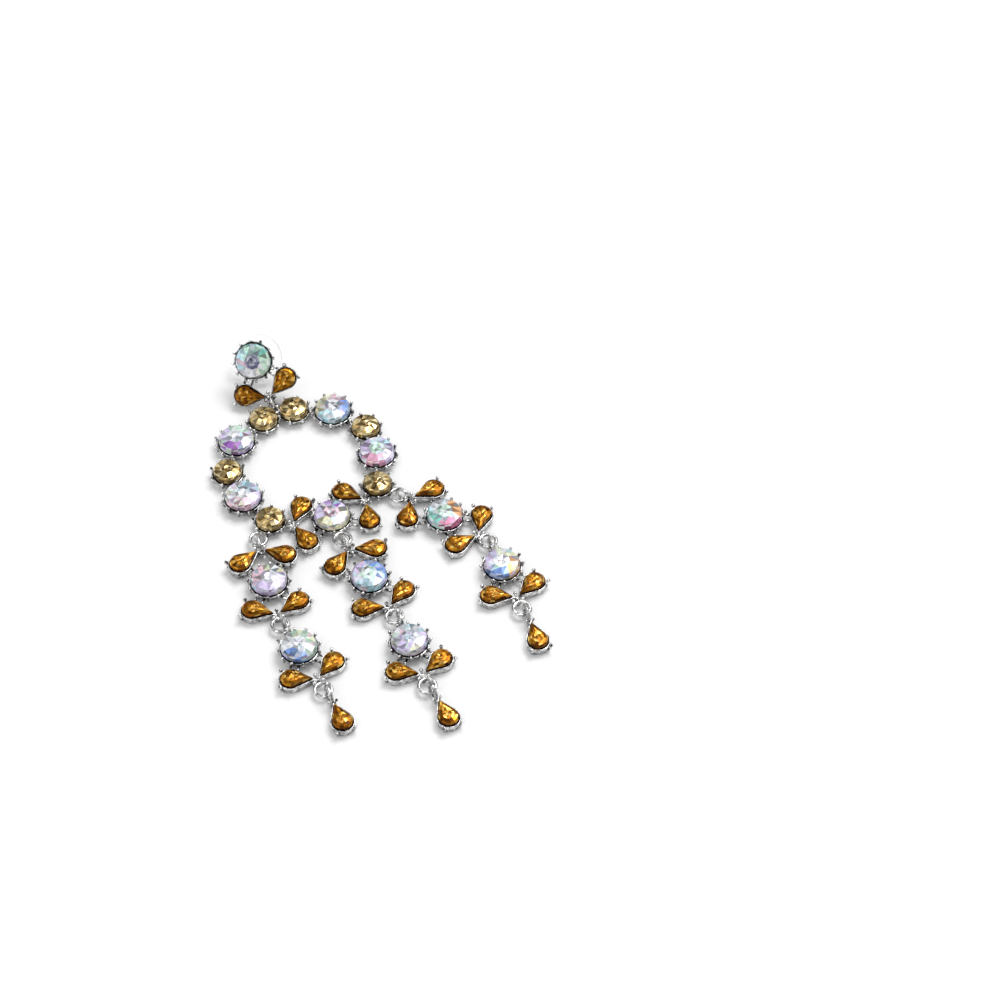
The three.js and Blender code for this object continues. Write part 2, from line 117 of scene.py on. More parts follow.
# Hoop: each stone's name, kind, turn from the top in degrees, and reach from the middle
HOOP_STONES = (
    ("champagne_1", CHAMPAGNE, -12.6, 16.6),
    ("champagne_2", CHAMPAGNE, 12.6, 16.6),
    ("crystal_1", CRYSTAL, 42.8, 17.0),
    ("champagne_3", CHAMPAGNE, 73.1, 17.2),
    ("crystal_2", CRYSTAL, 101.0, 16.2),
    ("champagne_4", CHAMPAGNE, 131.7, 17.0),
    ("crystal_3", CRYSTAL, 180.0, 15.9),
    ("champagne_5", CHAMPAGNE, -131.7, 17.0),
    ("crystal_4", CRYSTAL, -101.0, 16.2),
    ("champagne_6", CHAMPAGNE, -73.1, 17.2),
    ("crystal_5", CRYSTAL, -42.8, 17.0),
)
FAN_STAR = (8.6, -14.4)
FAN_LEAN = 13.5
LEFT_LOOP = (-16.9, -14.9)
RIGHT_LOOP = (15.9, -15.5)
MIDDLE_LOOP = (0.0, -22.15)
EYELET = (0.0, 18.75)
EYELET_RADIUS = 1.4
EYELET_WIRE = 0.35
BOTTOM_STONE = 6
HOOP_BAR_WIRE = 0.45
HOOP_BAR_HEIGHTS = (0.7, 1.35)
HOOP_BAR_BITE = 0.5
FAN_BAR_WIRE = 0.5
FAN_BAR_HEIGHT = 0.9
FAN_BAR_START = 2.7

# Stud and clutch
STUD_PITCH = math.radians(40)
STUD_ROLL = math.radians(-28)
STUD_SWING = math.radians(8)
STUD_STAR = (-0.25, 20.9)
STUD_LOOP_RADIUS = 1.55
STUD_LOOP_WIRE = 0.35
STUD_LOOP_REACH = 1.35
STUD_LOOP_HEIGHT = 0.9
POST_RADIUS = 0.4
POST_LENGTH = 9.0
DISC_RADIUS = 5.45
DISC_EDGE = 0.5
DISC_THICKNESS = 1.3
DISC_DROP = 3.4
BARREL_RADIUS = 1.9
BARREL_NECK = 1.3
BARREL_LENGTH = 2.8
BORE_GAP = 0.08
POST_STEPS = 16
DISC_STEPS = 64
BARREL_STEPS = 40

# Strands: the turn of each link, and its shift sideways and slack in the loop
STRANDS = {
    "left": dict(loop=LEFT_LOOP, full=(-9.0, -0.3, 0.4), half=(4.5, 0.55, 0), drop=(0.5, 0.45, 0)),
    "centre": dict(loop=MIDDLE_LOOP, full=(6.0, -0.2, 0.6), half=(-3.5, 0.6, 0), drop=(3.5, 0.2, 0.1)),
    "right": dict(loop=RIGHT_LOOP, full=(33.0, 0.2, 0), half=(-2.0, 0.1, 0.1), drop=(-5.0, 0.4, 0)),
}

# Camera: what it looks at, in the hoop's own frame, and from where
CAMERA_TARGET = (35.6, -26.42, 2.6)
CAMERA_ELEVATION = 50.9
CAMERA_AZIMUTH = -23.4
CAMERA_DISTANCE = 813.2
CAMERA_LENS = 133.2
CAMERA_SENSOR = 36

# Table and light: the even light on the table, the brightest that metal and glass mirror,
# and two lamps, all in metres and watts
FLOOR_REACH = 3
FLOOR_DROP = 0.00002
EVEN_LIGHT = 0.62
MIRRORED_LIGHT = 1.7
SOFTBOX = dict(azimuth=118, elevation=64, distance=0.9, size=(0.6, 0.45), power=4.6)
FILL_CARD = dict(azimuth=-70, elevation=40, distance=0.9, size=(0.25, 0.6), power=0.7)

TINTS = {
    "white": (0.93, 0.95, 1.00),
    "grey": (0.58, 0.62, 0.70),
    "mint": (0.62, 0.88, 0.70),
    "teal": (0.25, 0.66, 0.57),
    "cyan": (0.52, 0.82, 0.93),
    "blue": (0.22, 0.38, 0.85),
    "lilac": (0.74, 0.64, 0.93),
    "purple": (0.40, 0.16, 0.60),
    "pink": (0.92, 0.62, 0.74),
    "rose": (0.86, 0.44, 0.62),
    "crimson": (0.74, 0.22, 0.40),
    "yellow": (0.93, 0.92, 0.62),
    "orange": (0.92, 0.48, 0.22),
    "straw": (0.69, 0.49, 0.20),
    "sand": (0.43, 0.29, 0.105),
    "cream": (0.97, 0.82, 0.48),
    "umber": (0.10, 0.055, 0.015),
    "honey": (0.52, 0.23, 0.013),
    "amber": (0.34, 0.12, 0.005),
    "rust": (0.16, 0.045, 0.002),
    "treacle": (0.05, 0.014, 0.001),
    "gold": (0.98, 0.62, 0.15),
    "dusk": (0.18, 0.18, 0.31),
}

# Tints that any facet may take, by kind of stone and zone: middle, crown and edge. Their spread from white
# and gold to near black is partly the stones' own tint and partly painted glints and painted shade, darkest
# at the edge.
# A word said twice counts twice.
COMMON_TINTS = {
    "aurora": (
        "white white grey grey cyan lilac",
        "white white white white lilac cyan mint yellow pink grey",
        "white white cyan grey grey lilac",
    ),
    "champagne": (
        "sand umber umber straw cream",
        "straw straw sand sand cream cream umber umber",
        "straw straw sand umber cream",
    ),
    "amber": (
        "amber amber honey honey rust gold",
        "amber amber amber rust rust honey honey treacle gold",
        "rust treacle treacle treacle",
    ),
}

# Leading tints of each coated stone: its lower left, lower right, upper right and upper left,
# then its middle, and how many of the facets take them
LEADING_TINTS = {
    "stud_crystal": ("white", "mint", "teal", "cyan", "dusk"),
    "hoop_crystal_1": ("cyan", "blue", "pink", "yellow", "white"),
    "hoop_crystal_2": ("rose", "lilac", "cyan", "lilac", "mint"),
    "hoop_crystal_3": ("yellow", "yellow", "purple", "lilac", "pink"),
    "hoop_crystal_4": ("pink", "lilac", "cyan", "white", "white"),
    "hoop_crystal_5": ("purple", "lilac", "mint", "lilac", "white"),
    "full_left_crystal": ("lilac", "lilac", "yellow", "pink", "white"),
    "full_centre_crystal": ("cyan", "blue", "blue", "lilac", "mint"),
    "full_right_crystal": ("crimson", "orange", "white", "teal", "mint"),
    "half_left_crystal": ("blue", "mint", "mint", "white", "white"),
    "half_centre_crystal": ("lilac", "lilac", "cyan", "white", "grey"),
    "half_right_crystal": ("blue", "orange", "yellow", "lilac", "white"),
}
LEADING_SHARE = 0.6

# How bright a facet may be, by kind of stone, as painted glints and painted shade; how far the table's inner
# ring reaches and rises;
# and how near the corners of facets are joined
FACET_LEVELS = {
    "aurora": (1.05, 0.95, 0.85, 0.65, 0.35),
    "champagne": (1.2, 1.0, 0.75, 0.4),
    "amber": (1.2, 1.0, 0.75, 0.45),
}
INNER_SHARE = 0.55
INNER_LIFT = 0.1
WELD = 0.0005


# Nodes and materials

def new_material(name):
    material = bpy.data.materials.new(name)
    material.use_nodes = True
    nodes = material.node_tree.nodes
    return material, nodes, material.node_tree.links, nodes["Principled BSDF"]


def noise_patches(nodes, links, scale, detail, space="Object"):
    coordinates = nodes.new("ShaderNodeTexCoord")
    noise = nodes.new("ShaderNodeTexNoise")
    noise.inputs["Scale"].default_value = scale
    noise.inputs["Detail"].default_value = detail
    links.new(coordinates.outputs[space], noise.inputs["Vector"])
    return noise.outputs["Fac"]


def colour_ramp(nodes, links, factor, low, high):
    """Two colours, each given as its position and its red, green and blue."""
    ramp = nodes.new("ShaderNodeValToRGB")
    for element, (position, colour) in zip(ramp.color_ramp.elements, (low, high)):
        element.position = position
        element.color = (*colour, 1)
    links.new(factor, ramp.inputs["Fac"])
    return ramp.outputs["Color"]


def silver_material(name, painted_dark_to, bright_from):
    """Bright plating, with painted reflection: dark patches in its colour, like those that small polished
    shapes show.
    """
    material, nodes, links, shader = new_material(name)
    shader.inputs["Metallic"].default_value = 1
    shader.inputs["Roughness"].default_value = 0.12
    # The dark colour is painted reflection of dark surroundings; the bright one is the plating's own.
    dark, bright = (0.05, 0.048, 0.047), (0.88, 0.88, 0.88)
    patches = noise_patches(nodes, links, 1100, 2)
    colour = colour_ramp(nodes, links, patches, (painted_dark_to, dark), (bright_from, bright))
    bump = nodes.new("ShaderNodeBump")
    bump.inputs["Strength"].default_value = 0.5
    bump.inputs["Distance"].default_value = 0.00012
    links.new(colour, shader.inputs["Base Color"])
    links.new(noise_patches(nodes, links, 900, 3), bump.inputs["Height"])
    links.new(bump.outputs["Normal"], shader.inputs["Normal"])
    return material


# Near-black painted shade for the seats and inner walls under the stones, where the gap round each stone
# lies in shade.
def seat_material():
    material, nodes, links, shader = new_material("seat_shade")
    shader.inputs["Metallic"].default_value = 0.7
    shader.inputs["Roughness"].default_value = 0.45
    patches = noise_patches(nodes, links, 1500, 2)
    colour = colour_ramp(nodes, links, patches, (0, (0.012, 0.012, 0.014)), (1, (0.05, 0.05, 0.055)))
    links.new(colour, shader.inputs["Base Color"])
    return material


def stone_material(name, metal, shine, coat):
    """Cut glass over foil: each facet has its own colour, partly the stone's tint and partly painted
    reflection and shade, with the polish over it as a coat.
    """
    material, nodes, links, shader = new_material(name)
    facet = nodes.new("ShaderNodeAttribute")
    facet.attribute_name = "facet_colour"
    patches = noise_patches(nodes, links, 1300, 1)
    foil = colour_ramp(nodes, links, patches, (0.35, (0.72, 0.72, 0.72)), (0.6, (1, 1, 1)))
    shade = nodes.new("ShaderNodeMixRGB")
    shade.blend_type = "MULTIPLY"
    shade.inputs["Fac"].default_value = 1
    links.new(facet.outputs["Color"], shade.inputs["Color1"])
    links.new(foil, shade.inputs["Color2"])
    links.new(shade.outputs["Color"], shader.inputs["Base Color"])
    shader.inputs["Metallic"].default_value = metal
    shader.inputs["Roughness"].default_value = 0.2
    shader.inputs["Specular IOR Level"].default_value = shine
    shader.inputs["Coat Weight"].default_value = coat
    shader.inputs["Coat Roughness"].default_value = 0.02
    return material


def clear_material():
    material, nodes, links, shader = new_material("clear_plastic")
    shader.inputs["Base Color"].default_value = (0.985, 0.99, 0.99, 1)
    shader.inputs["Transmission Weight"].default_value = 1
    shader.inputs["IOR"].default_value = 1.25
    shader.inputs["Roughness"].default_value = 0.03
    return material


SILVER = silver_material("silver_plate", 0.37, 0.64)
POLISH = silver_material("silver_polish", 0.35, 0.58)
WIRE = silver_material("silver_wire", 0.24, 0.68)
SEAT = seat_material()
STONES = {
    "aurora": stone_material("aurora_crystal", 0.17, 0.4, 0.08),
    "champagne": stone_material("champagne_crystal", 0.65, 0.15, 0.05),
    "amber": stone_material("amber_crystal", 0.6, 0.1, 0.03),
}
CLEAR = clear_material()


# Places of the finishes in a casting's list of materials: the three silvers differ only in how much of their
# colour is painted dark reflection, and SHADE is painted shade
PLATE, SHADE, POLISHED, SMOOTH = 0, 1, 2, 3


# Mesh helpers: each works on a bmesh in millimetres, in the piece's own frame

def ring(outline, height):
    return [Vector((x, y, height)) for x, y in outline]


def circle(radius, steps, turn=0.0):
    angles = [turn + 2 * math.pi * i / steps for i in range(steps)]
    return [(radius * math.cos(a), radius * math.sin(a)) for a in angles]


def loft(mesh, rings, place=Matrix(), materials=None):
    """Skins rings of equal length and caps both ends, with one material for each band."""
    rows = [[mesh.verts.new(place @ point) for point in points] for points in rings]
    count = len(rows[0])
    for band, (lower, upper) in enumerate(zip(rows, rows[1:])):
        for i in range(count):
            j = (i + 1) % count
            face = mesh.faces.new((lower[i], lower[j], upper[j], upper[i]))
            face.smooth = True
            face.material_index = materials[band] if materials else 0
    mesh.faces.new(rows[0][::-1])
    top = mesh.faces.new(rows[-1])
    top.material_index = materials[-1] if materials else 0


def lathe(mesh, profile, steps, place=Matrix(), materials=None, closed=False):
    """Turns a profile of radii and heights into a solid, or into a closed ring round a bore."""
    rings = [ring(circle(radius, steps), height) for radius, height in profile]
    if not closed:
        loft(mesh, rings, place, materials)
        return
    rows = [[mesh.verts.new(place @ point) for point in points] for points in rings]
    for lower, upper in zip(rows, rows[1:] + rows[:1]):
        for i in range(steps):
            j = (i + 1) % steps
            mesh.faces.new((lower[i], lower[j], upper[j], upper[i])).smooth = True


def ball(mesh, centre, radius, place=Matrix(), steps=12):
    made = bmesh.ops.create_uvsphere(mesh, u_segments=steps, v_segments=steps // 2 + 1, radius=radius,
                                     matrix=place @ Matrix.Translation(centre))
    for vertex in made["verts"]:
        for face in vertex.link_faces:
            face.smooth = True
            face.material_index = POLISHED


def rod(mesh, start, end, radius, end_radius=None, place=Matrix(), steps=10, finish=PLATE):
    start, end = Vector(start), Vector(end)
    turn = (end - start).to_track_quat("Z", "Y").to_matrix().to_4x4()
    length = (end - start).length
    end_radius = radius if end_radius is None else end_radius
    rings = [ring(circle(radius, steps), 0), ring(circle(end_radius, steps), length)]
    loft(mesh, rings, place @ Matrix.Translation(start) @ turn, [finish])


def torus(mesh, radius, wire, place, steps=40, sides=12):
    rows = []
    for i in range(steps):
        turn = 2 * math.pi * i / steps
        row = []
        for j in range(sides):
            roll = 2 * math.pi * j / sides
            reach = radius + wire * math.cos(roll)
            point = Vector((reach * math.cos(turn), reach * math.sin(turn), wire * math.sin(roll)))
            row.append(mesh.verts.new(place @ point))
        rows.append(row)
    for i in range(steps):
        a, b = rows[i], rows[(i + 1) % steps]
        for j in range(sides):
            k = (j + 1) % sides
            face = mesh.faces.new((a[j], b[j], b[k], a[k]))
            face.smooth = True
            face.material_index = SMOOTH


def flat_loop(mesh, x, y, radius=FLAT_LOOP_RADIUS, wire=LOOP_WIRE):
    torus(mesh, radius, wire, Matrix.Translation((x, y, LOOP_HEIGHT)))


def upright_loop(mesh, y, height=LOOP_HEIGHT, radius=UPRIGHT_LOOP_RADIUS, wire=LOOP_WIRE):
    torus(mesh, radius, wire, Matrix.Translation((0, y, height)) @ Matrix.Rotation(math.pi / 2, 4, "Y"))


def pronged_cup(mesh, stone, place=Matrix(), turn=0.0):
    """Bowl with a dark seat and a crown of wires that end in small balls."""
    rim = stone["low"] - SEAT_GAP
    inner = stone["radius"] + SEAT_GAP
    outer = inner + CUP_WALL
    base = outer - CUP_TAPER
    profile = [
        (base - 0.15, 0.0),
        (base, 0.12),
        (base + 0.5, rim * 0.4),
        (outer - 0.25, rim * 0.8),
        (outer - 0.14, rim - 0.22),
        (outer - 0.22, rim - 0.14),
        (inner + 0.02, rim - 0.16),
        (inner - 0.12, rim - 0.4),
        (0.4, CUP_FLOOR),
    ]
    lathe(mesh, profile, CUP_STEPS, place, [PLATE] * 6 + [SHADE] * 3)
    for i in range(stone["prongs"]):
        spin = place @ Matrix.Rotation(math.radians(turn) + 2 * math.pi * i / stone["prongs"], 4, "Z")
        foot = (outer - 0.3, 0, rim * 0.45)
        tip = (outer + 0.14, 0, rim + 0.3)
        rod(mesh, foot, tip, PRONG_WIRE * 1.25, PRONG_WIRE, spin, PRONG_STEPS, POLISHED)
        ball(mesh, tip, PRONG_BALL, spin, PRONG_BALL_STEPS)


def pear_outline(offset, steps, blunt=None):
    """Pear with its round end about the origin and its tip towards +Y, cut off at blunt if given."""
    radius = PEAR_RADIUS + offset
    tangent = math.acos(PEAR_RADIUS / PEAR_TIP)
    tip = radius / math.cos(tangent)
    points = []
    for i in range(steps + 1):
        turn = tangent + i / steps * 2 * (math.pi - tangent)
        points.append((-math.sin(turn) * radius, math.cos(turn) * radius))
    first, last = points[0], points[-1]
    limit = tip if blunt is None else min(tip, blunt)
    for share in (0.35, 0.7, 1.0):
        y = last[1] + (limit - last[1]) * share
        x = last[0] * (1 - (y - last[1]) / (tip - last[1]))
        points.append((max(x, TIP_HALF_WIDTH), y))
    for share in (1.0, 0.7, 0.35):
        y = first[1] + (limit - first[1]) * share
        x = first[0] * (1 - (y - first[1]) / (tip - first[1]))
        points.append((min(x, -TIP_HALF_WIDTH), y))
    return points


def pear_setting(mesh, place):
    """Bezel with a dark seat and two balled prongs at its round end."""
    reach = PEAR_RADIUS + PEAR_WALL
    rim = PEAR_GIRDLE + BEZEL_RISE
    sections = [
        (PEAR_WALL - PEAR_TAPER, 0.0),
        (PEAR_WALL - PEAR_TAPER + 0.08, 0.12),
        (PEAR_WALL - 0.06, rim * 0.55),
        (PEAR_WALL, rim - 0.1),
        (PEAR_WALL - 0.08, rim + 0.02),
        (0.1, rim + 0.02),
        (0.06, rim - 0.15),
        (0.03, PEAR_FLOOR),
    ]
    rings = []
    for offset, height in sections:
        rings.append(ring(pear_outline(offset, BEZEL_STEPS, PEAR_TIP + offset), height))
    loft(mesh, rings, place, [PLATE] + [SMOOTH] * 4 + [SHADE] * 3)
    for side in (-1, 1):
        turn = math.radians(PEAR_PRONG_TURN) * side
        outward = Vector((math.sin(turn), -math.cos(turn), 0))
        foot = outward * (reach - 0.15) + Vector((0, 0, 0.5))
        tip = outward * (reach + 0.35) + Vector((0, 0, rim + 0.12))
        rod(mesh, foot, tip, PRONG_WIRE * 1.5, PRONG_WIRE * 1.2, place, PRONG_STEPS, POLISHED)
        ball(mesh, tip, PRONG_BALL * 1.2, place, PRONG_BALL_STEPS)


def star_joint(mesh, place, turns=STAR_TURNS):
    """Small hub with a ridge to each pear's tip and one away from the stone, and balls between them."""
    hub = [(STAR_RADIUS, 0), (STAR_RADIUS, 1.2), (STAR_RADIUS * 0.75, 1.65), (0.15, STAR_HEIGHT + 0.1)]
    lathe(mesh, hub, HUB_STEPS, place, [PLATE, POLISHED, POLISHED])
    for turn in turns:
        spin = place @ Matrix.Rotation(math.radians(turn), 4, "Z")
        rod(mesh, (0, 0.6, 0.8), (0, 1.15, STAR_HEIGHT), 0.3, 0.24, spin, PRONG_STEPS, POLISHED)
        ball(mesh, (0, 1.2, STAR_HEIGHT + 0.12), PRONG_BALL * 1.15, spin, PRONG_BALL_STEPS)
    for turn in (-PEAR_SPREAD, PEAR_SPREAD, 180):
        spin = place @ Matrix.Rotation(math.radians(turn), 4, "Z")
        ridge = (0, -0.1, STAR_HEIGHT * 0.86), (0, 1.35, PEAR_GIRDLE + 0.1)
        rod(mesh, *ridge, 0.36, 0.14, spin, PRONG_STEPS, POLISHED)


def bow_places(x, y, heading):
    """Where the two pears of a bow stand."""
    places = []
    for side in (-1, 1):
        turn = heading + side * math.radians(PEAR_SPREAD)
        centre = Vector((x - math.sin(turn) * PEAR_REACH, y + math.cos(turn) * PEAR_REACH, 0))
        places.append(Matrix.Translation(centre) @ Matrix.Rotation(turn + math.pi, 4, "Z"))
    return places


def pear_bars(mesh, place, target):
    """Two thin bars from a pear's round end to the cup at the target."""
    start = place.to_translation()
    along = (Vector((*target, 0)) - start).normalized()
    across = Vector((-along.y, along.x, 0))
    reach = (Vector((*target, 0)) - start).length
    near = start + along * (PEAR_RADIUS - 0.05)
    far = start + along * (reach - CRYSTAL["radius"] + 0.15)
    for side in (-1, 1):
        shift = across * BAR_SPREAD * side + Vector((0, 0, BAR_HEIGHT))
        rod(mesh, near + shift, far + shift, BAR_WIRE)


def bow(mesh, x, y, heading, target, turns=STAR_TURNS):
    """Star, two pear settings and their bars to the cup of a large stone; returns the pears' places."""
    star_joint(mesh, Matrix.Translation((x, y, 0)) @ Matrix.Rotation(heading, 4, "Z"), turns)
    places = bow_places(x, y, heading)
    for place in places:
        pear_setting(mesh, place)
        pear_bars(mesh, place, target)
    return places


# Pieces

def make_piece(name, mesh, place, materials, replaced):
    """Ends a bmesh as an object in metres that rides on the root body."""
    mesh.transform(Matrix.Scale(MM, 4) @ place)
    bmesh.ops.recalc_face_normals(mesh, faces=mesh.faces)
    if mesh.calc_volume(signed=True) < 0:
        bmesh.ops.reverse_faces(mesh, faces=mesh.faces)
    data = bpy.data.meshes.new(name)
    mesh.to_mesh(data)
    mesh.free()
    for material in materials:
        data.materials.append(material)
    piece = bpy.data.objects.new(name, data)
    bpy.context.scene.collection.objects.link(piece)
    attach(piece, "root")
    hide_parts(replaced)


def facet_tint(kind, zone, point, leading, chance):
    """A facet's tint by its zone (0 middle, 1 crown, 2 edge) and by the quarter that it lies in."""
    if leading and zone < 2 and chance.random() < LEADING_SHARE:
        quarter = int((math.atan2(point.y, point.x) / math.pi + 1) * 2) % 4
        return TINTS[leading[quarter] if zone == 1 else leading[4]]
    return TINTS[chance.choice(COMMON_TINTS[kind][zone].split())]


def cut_stone(name, kind, rows, culet, place, replaced):
    """Skins outlines from the lower girdle up to the table, and down to the culet.

    Each row is an outline, the zone of the band above it, and whether that band's facets are split;
    the last row is the table, cut into wedges about its middle.
    """
    mesh = bmesh.new()
    layer = mesh.loops.layers.float_color.new("facet_colour")
    chance = random.Random(name)
    leading = LEADING_TINTS.get(replaced)
    table, table_zone, _ = rows[-1]
    middle = sum(table, Vector()) / len(table)

    def facet(points, zone):
        face = mesh.faces.new([mesh.verts.new(point) for point in points])
        centre = sum(points, Vector()) / len(points) - middle
        tints = [facet_tint(kind, zone, centre, leading, chance) for _ in range(2)]
        # Each facet's brightness is a painted glint or painted shade.
        level = chance.choice(FACET_LEVELS[kind])
        for loop, point in zip(face.loops, points):
            tint = tints[(point - middle).length > centre.length]
            loop[layer] = (*[part * level for part in tint], 1)

    for (lower, zone, split), (upper, _, _) in zip(rows, rows[1:]):
        count, inner = len(lower), len(upper)
        if count == inner:
            for i in range(count):
                j = (i + 1) % count
                if split:
                    facet((lower[i], lower[j], upper[j]), zone)
                    facet((lower[i], upper[j], upper[i]), zone)
                else:
                    facet((lower[i], lower[j], upper[j], upper[i]), zone)
            continue
        for i in range(inner):
            j = (i + 1) % inner
            a, b, c = lower[2 * i], lower[2 * i + 1], lower[(2 * i + 2) % count]
            facet((a, b, upper[i]), zone)
            facet((b, upper[j], upper[i]), zone)
            facet((b, c, upper[j]), zone)
    inner = []
    for point in table:
        inner.append(middle + (point - middle) * INNER_SHARE + Vector((0, 0, chance.uniform(0, INNER_LIFT))))
    for i in range(len(table)):
        j = (i + 1) % len(table)
        facet((table[i], table[j], inner[j], inner[i]), table_zone)
        facet((inner[i], inner[j], middle), table_zone)
    base = rows[0][0]
    for i in range(len(base)):
        facet((base[(i + 1) % len(base)], base[i], culet), 2)
    bmesh.ops.remove_doubles(mesh, verts=mesh.verts, dist=WELD)
    make_piece(name, mesh, place, [STONES[kind]], replaced)


def round_rows(stone):
    low, high = stone["low"], stone["low"] + GIRDLE
    radius, crown = stone["radius"], stone["crown"]
    return [
        (ring(circle(radius, ROUND_SIDES), low), 1, False),
        (ring(circle(radius - GIRDLE_LEAN, ROUND_SIDES), high), 1, True),
        (ring(circle(radius - GIRDLE_LEAN * 4, ROUND_SIDES), high + crown * 0.55), 1, False),
        (ring(circle(radius * stone["table"], TABLE_SIDES, math.pi / ROUND_SIDES), high + crown), 0, False),
    ]


def pear_rows():
    low, high = PEAR_GIRDLE, PEAR_GIRDLE + GIRDLE
    outline = pear_outline(0, PEAR_FACET_STEPS)

    def drawn(share, height):
        return [Vector((x * share, PEAR_MIDDLE + (y - PEAR_MIDDLE) * share, height)) for x, y in outline]

    return [
        (drawn(1.0, low), 2, False),
        (drawn(0.97, high - 0.1), 1, False),
        (drawn(0.84, high + 0.25), 1, False),
        (drawn(0.55, high + PEAR_CROWN), 0, False),
    ]


def add_round(name, stone, place, turn=0.0):
    place = place @ Matrix.Rotation(math.radians(turn), 4, "Z")
    culet = Vector((0, 0, CUP_FLOOR + 0.15))
    cut_stone(f"{name}_cut", stone["kind"], round_rows(stone), culet, place, name)


def add_pears(prefix, places, whole):
    for i, place in enumerate(places):
        name = prefix if len(places) == 1 else f"{prefix}_{i + 1}"
        culet = Vector((0, PEAR_MIDDLE, PEAR_FLOOR + 0.25))
        cut_stone(f"{name}_cut", "amber", pear_rows(), culet, whole @ place, name)


def add_casting(name, mesh, whole):
    make_piece(f"{name}_fine", mesh, whole, [SILVER, SEAT, POLISH, WIRE], name)


def build_full(name, whole):
    mesh = bmesh.new()
    pronged_cup(mesh, CRYSTAL, turn=CUP_TURN)
    places = bow(mesh, 0, BOW_REACH, math.pi, (0, 0))
    places += bow(mesh, 0, -BOW_REACH, 0, (0, 0))
    upright_loop(mesh, BOW_REACH + FULL_UPRIGHT_LOOP)
    flat_loop(mesh, 0, -BOW_REACH - FULL_FLAT_LOOP)
    add_casting(f"full_{name}_frame", mesh, whole)
    add_round(f"full_{name}_crystal", CRYSTAL, whole, turn=11)
    add_pears(f"full_{name}_pear", places, whole)


def build_half(name, whole):
    mesh = bmesh.new()
    pronged_cup(mesh, CRYSTAL, turn=CUP_TURN)
    places = bow(mesh, 0, -BOW_REACH, 0, (0, 0))
    upright_loop(mesh, HALF_UPRIGHT_LOOP)
    flat_loop(mesh, 0, -BOW_REACH - HALF_FLAT_LOOP)
    add_casting(f"half_{name}_frame", mesh, whole)
    add_round(f"half_{name}_crystal", CRYSTAL, whole, turn=4)
    add_pears(f"half_{name}_pear", places, whole)


def build_drop(name, whole):
    mesh = bmesh.new()
    pear_setting(mesh, Matrix())
    collar = [(0.6, 0.1), (0.62, 1.2), (0.35, 1.6)]
    lathe(mesh, collar, COLLAR_STEPS, Matrix.Translation((0, DROP_COLLAR, 0)))
    for side in (-1, 1):
        foot = (side * 0.3, DROP_COLLAR - 0.2, 0.8)
        rod(mesh, foot, (side * 0.85, DROP_COLLAR, PEAR_GIRDLE + 0.2), 0.24, 0.18)
        ball(mesh, (side * 0.85, DROP_COLLAR, PEAR_GIRDLE + 0.3), PRONG_BALL * 0.9)
    upright_loop(mesh, DROP_UPRIGHT_LOOP)
    add_casting(f"drop_{name}_frame", mesh, whole)
    add_pears(f"drop_{name}_pear", [Matrix()], whole)


def build_stud(whole):
    mesh = bmesh.new()
    pronged_cup(mesh, CRYSTAL, turn=CUP_TURN)
    places = bow(mesh, 0, -BOW_REACH, 0, (0, 0), STUD_STAR_TURNS)
    upright_loop(mesh, -BOW_REACH - STUD_LOOP_REACH, STUD_LOOP_HEIGHT, STUD_LOOP_RADIUS, STUD_LOOP_WIRE)
    post = [(0.15, -POST_LENGTH), (POST_RADIUS, 0.35 - POST_LENGTH), (POST_RADIUS, 0.1)]
    lathe(mesh, post, POST_STEPS)
    add_casting("stud_frame", mesh, whole)
    add_round("stud_crystal", CRYSTAL, whole, turn=9)
    add_pears("stud_pear", places, whole)

    bore = POST_RADIUS + BORE_GAP
    front = -DISC_DROP
    back = front - DISC_THICKNESS
    edge = front - DISC_EDGE
    disc = [
        (bore, back),
        (BARREL_RADIUS, back),
        (DISC_RADIUS - 0.15, edge),
        (DISC_RADIUS, edge + 0.15),
        (DISC_RADIUS, front - 0.12),
        (DISC_RADIUS - 0.12, front),
        (bore, front),
    ]
    mesh = bmesh.new()
    lathe(mesh, disc, DISC_STEPS, closed=True)
    make_piece("clutch_disc_clear", mesh, whole, [CLEAR], "clutch_disc")
    top = back - BORE_GAP
    end = top - BARREL_LENGTH
    barrel = [
        (bore, end),
        (BARREL_NECK - 0.1, end),
        (BARREL_NECK, end + 0.12),
        (BARREL_NECK, (top + end) / 2),
        (BARREL_RADIUS - 0.1, top - 0.65),
        (BARREL_RADIUS, top - 0.5),
        (BARREL_RADIUS, top),
        (bore, top),
    ]
    mesh = bmesh.new()
    lathe(mesh, barrel, BARREL_STEPS, closed=True)
    make_piece("clutch_barrel_fine", mesh, whole, [SILVER], "clutch_barrel")


